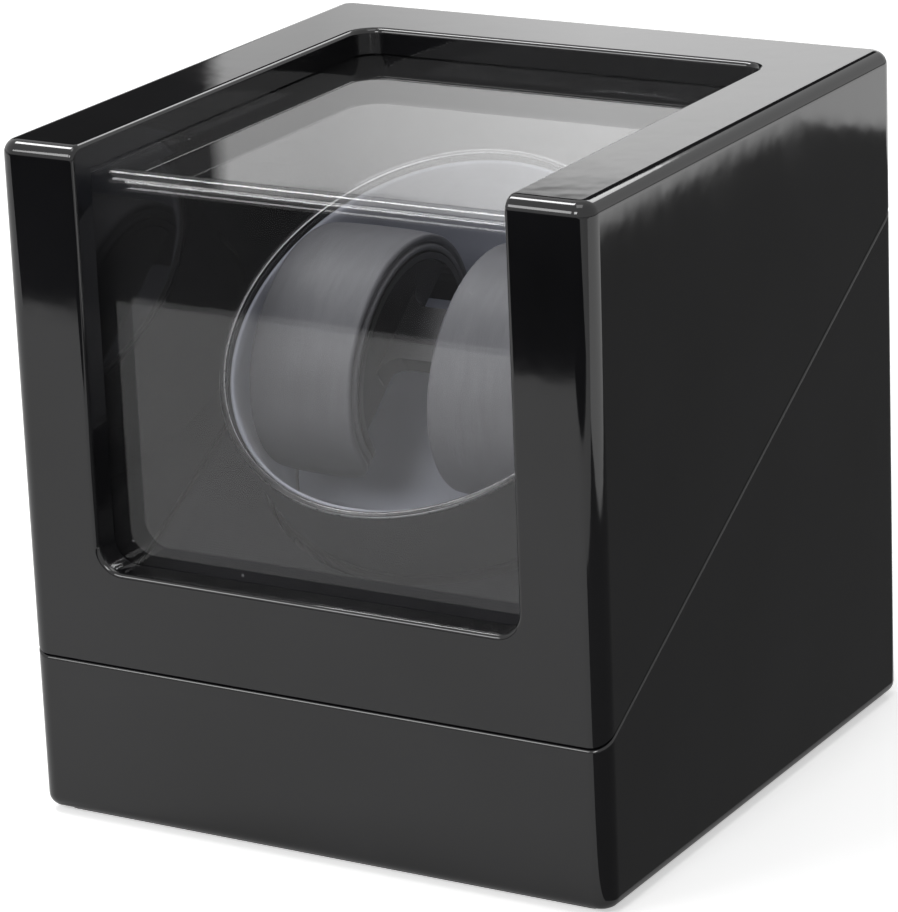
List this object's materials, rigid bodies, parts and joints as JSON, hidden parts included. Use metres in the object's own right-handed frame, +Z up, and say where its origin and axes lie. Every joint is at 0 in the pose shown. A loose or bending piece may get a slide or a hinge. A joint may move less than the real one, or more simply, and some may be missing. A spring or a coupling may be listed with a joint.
{
  "type": "watch winder box",
  "caption": "Gloss black watch winder box with a sloping lid, bent clear window and a tilted turning cup that holds two watch cuffs.",
  "frame": {"origin": "middle of the felt sheet's underside, on the surface the box stands on", "axes": "+Z up, -Y to the front window, +X to the right seen from the front"},
  "size_m": [0.15, 0.1562, 0.161],
  "materials": {
    "lacquer": "high-gloss black lacquer over MDF board",
    "window": "clear bent acrylic sheet",
    "felt": "black felt",
    "deck_cloth": "black velvet cloth",
    "satin": "blue-grey satin lining",
    "cuff_leather": "charcoal synthetic leather over foam",
    "gloss_plastic": "black gloss moulded plastic",
    "black_plastic": "black matt moulded plastic",
    "white_plastic": "natural acetal gears",
    "steel": "plated steel",
    "brass": "satin brass",
    "circuit_green": "green circuit board",
    "lead_red": "soft PVC insulation"
  },
  "bodies": {
    "base": {"base_left_side": "lacquer", "base_right_side": "lacquer", "base_front_board": "lacquer", "base_back_board": "lacquer", "bottom_panel": "lacquer", "bottom_felt": "felt", "deck_panel": "lacquer", "deck_cloth": "deck_cloth", "deck_cleats": "lacquer", "base_magnet": "steel", "hinge_lower_leaf": "brass", "hinge_pin": "steel", "hinge_lower_screw_left": "brass", "hinge_lower_screw_right": "brass", "control_plate": "black_plastic", "control_screw_left": "steel", "control_screw_right": "steel", "dc_jack": "black_plastic", "rocker_housing": "black_plastic", "selector_body": "black_plastic", "circuit_board": "circuit_green", "motor_connector": "white_plastic", "motor_lead": "lead_red", "rotor_chassis": "black_plastic", "chassis_screw_left": "steel", "chassis_screw_right": "steel", "output_bush": "brass", "gearbox_rear_plate": "black_plastic", "gearbox_screw_left": "steel", "gearbox_screw_right": "steel", "idler_axle": "steel", "motor_can": "steel", "motor_screw_left": "steel", "motor_screw_right": "steel"},
    "lid": {"lid_left_side": "lacquer", "lid_right_side": "lacquer", "lid_front_frame": "lacquer", "lid_top_frame": "lacquer", "lid_back_board": "lacquer", "lid_window": "window", "lid_magnet": "steel", "hinge_upper_leaf": "brass", "hinge_upper_screw_left": "brass", "hinge_upper_screw_right": "brass"},
    "rotor": {"rotor_cup": "gloss_plastic", "cup_lining": "satin", "cup_floor_pad": "satin", "cup_screw": "steel", "output_shaft": "steel", "output_gear": "white_plastic", "shaft_clip": "steel"},
    "watch_holder": {"watch_cuff_left": "cuff_leather", "watch_cuff_right": "cuff_leather", "cuff_spring_left": "black_plastic", "cuff_spring_right": "black_plastic", "cuff_bridge": "black_plastic"},
    "idler": {"idler_gear": "white_plastic"},
    "motor_rotor": {"motor_pinion": "brass"},
    "mode_knob": {"mode_knob": "black_plastic"},
    "rocker": {"rocker": "black_plastic"}
  },
  "joints": [
    {"name": "lid_hinge", "type": "hinge", "parent": "base", "child": "lid", "pos_m": [0, 0.0774, 0.124], "axis": [-1, 0, 0], "range_deg": [0, 95]},
    {"name": "cup_spin", "type": "hinge", "parent": "base", "child": "rotor", "pos_m": [0, -0.0159, 0.10963], "axis": [0, -0.6225, 0.7826], "continuous": true},
    {"name": "idler_spin", "type": "hinge", "parent": "base", "child": "idler", "pos_m": [0.02425, 0.01672, 0.04613], "axis": [0, -0.6225, 0.7826], "continuous": true},
    {"name": "motor_spin", "type": "hinge", "parent": "base", "child": "motor_rotor", "pos_m": [0.00061, 0.01345, 0.04354], "axis": [0, -0.6225, 0.7826], "continuous": true},
    {"name": "holder_lift", "type": "slide", "parent": "rotor", "child": "watch_holder", "axis": [0, -0.6225, 0.7826], "range_m": [0, 0.028]},
    {"name": "mode_turn", "type": "hinge", "parent": "base", "child": "mode_knob", "pos_m": [0, 0.0747, 0.03], "axis": [0, 1, 0], "range_deg": [0, 150]},
    {"name": "rocker_tilt", "type": "hinge", "parent": "base", "child": "rocker", "pos_m": [-0.022, 0.06975, 0.03], "axis": [1, 0, 0], "range_deg": [0, 16]}
  ],
  "couplings": [
    {"joint": "idler_spin", "follows": "cup_spin", "ratio": -3},
    {"joint": "motor_spin", "follows": "cup_spin", "ratio": 9}
  ]
}
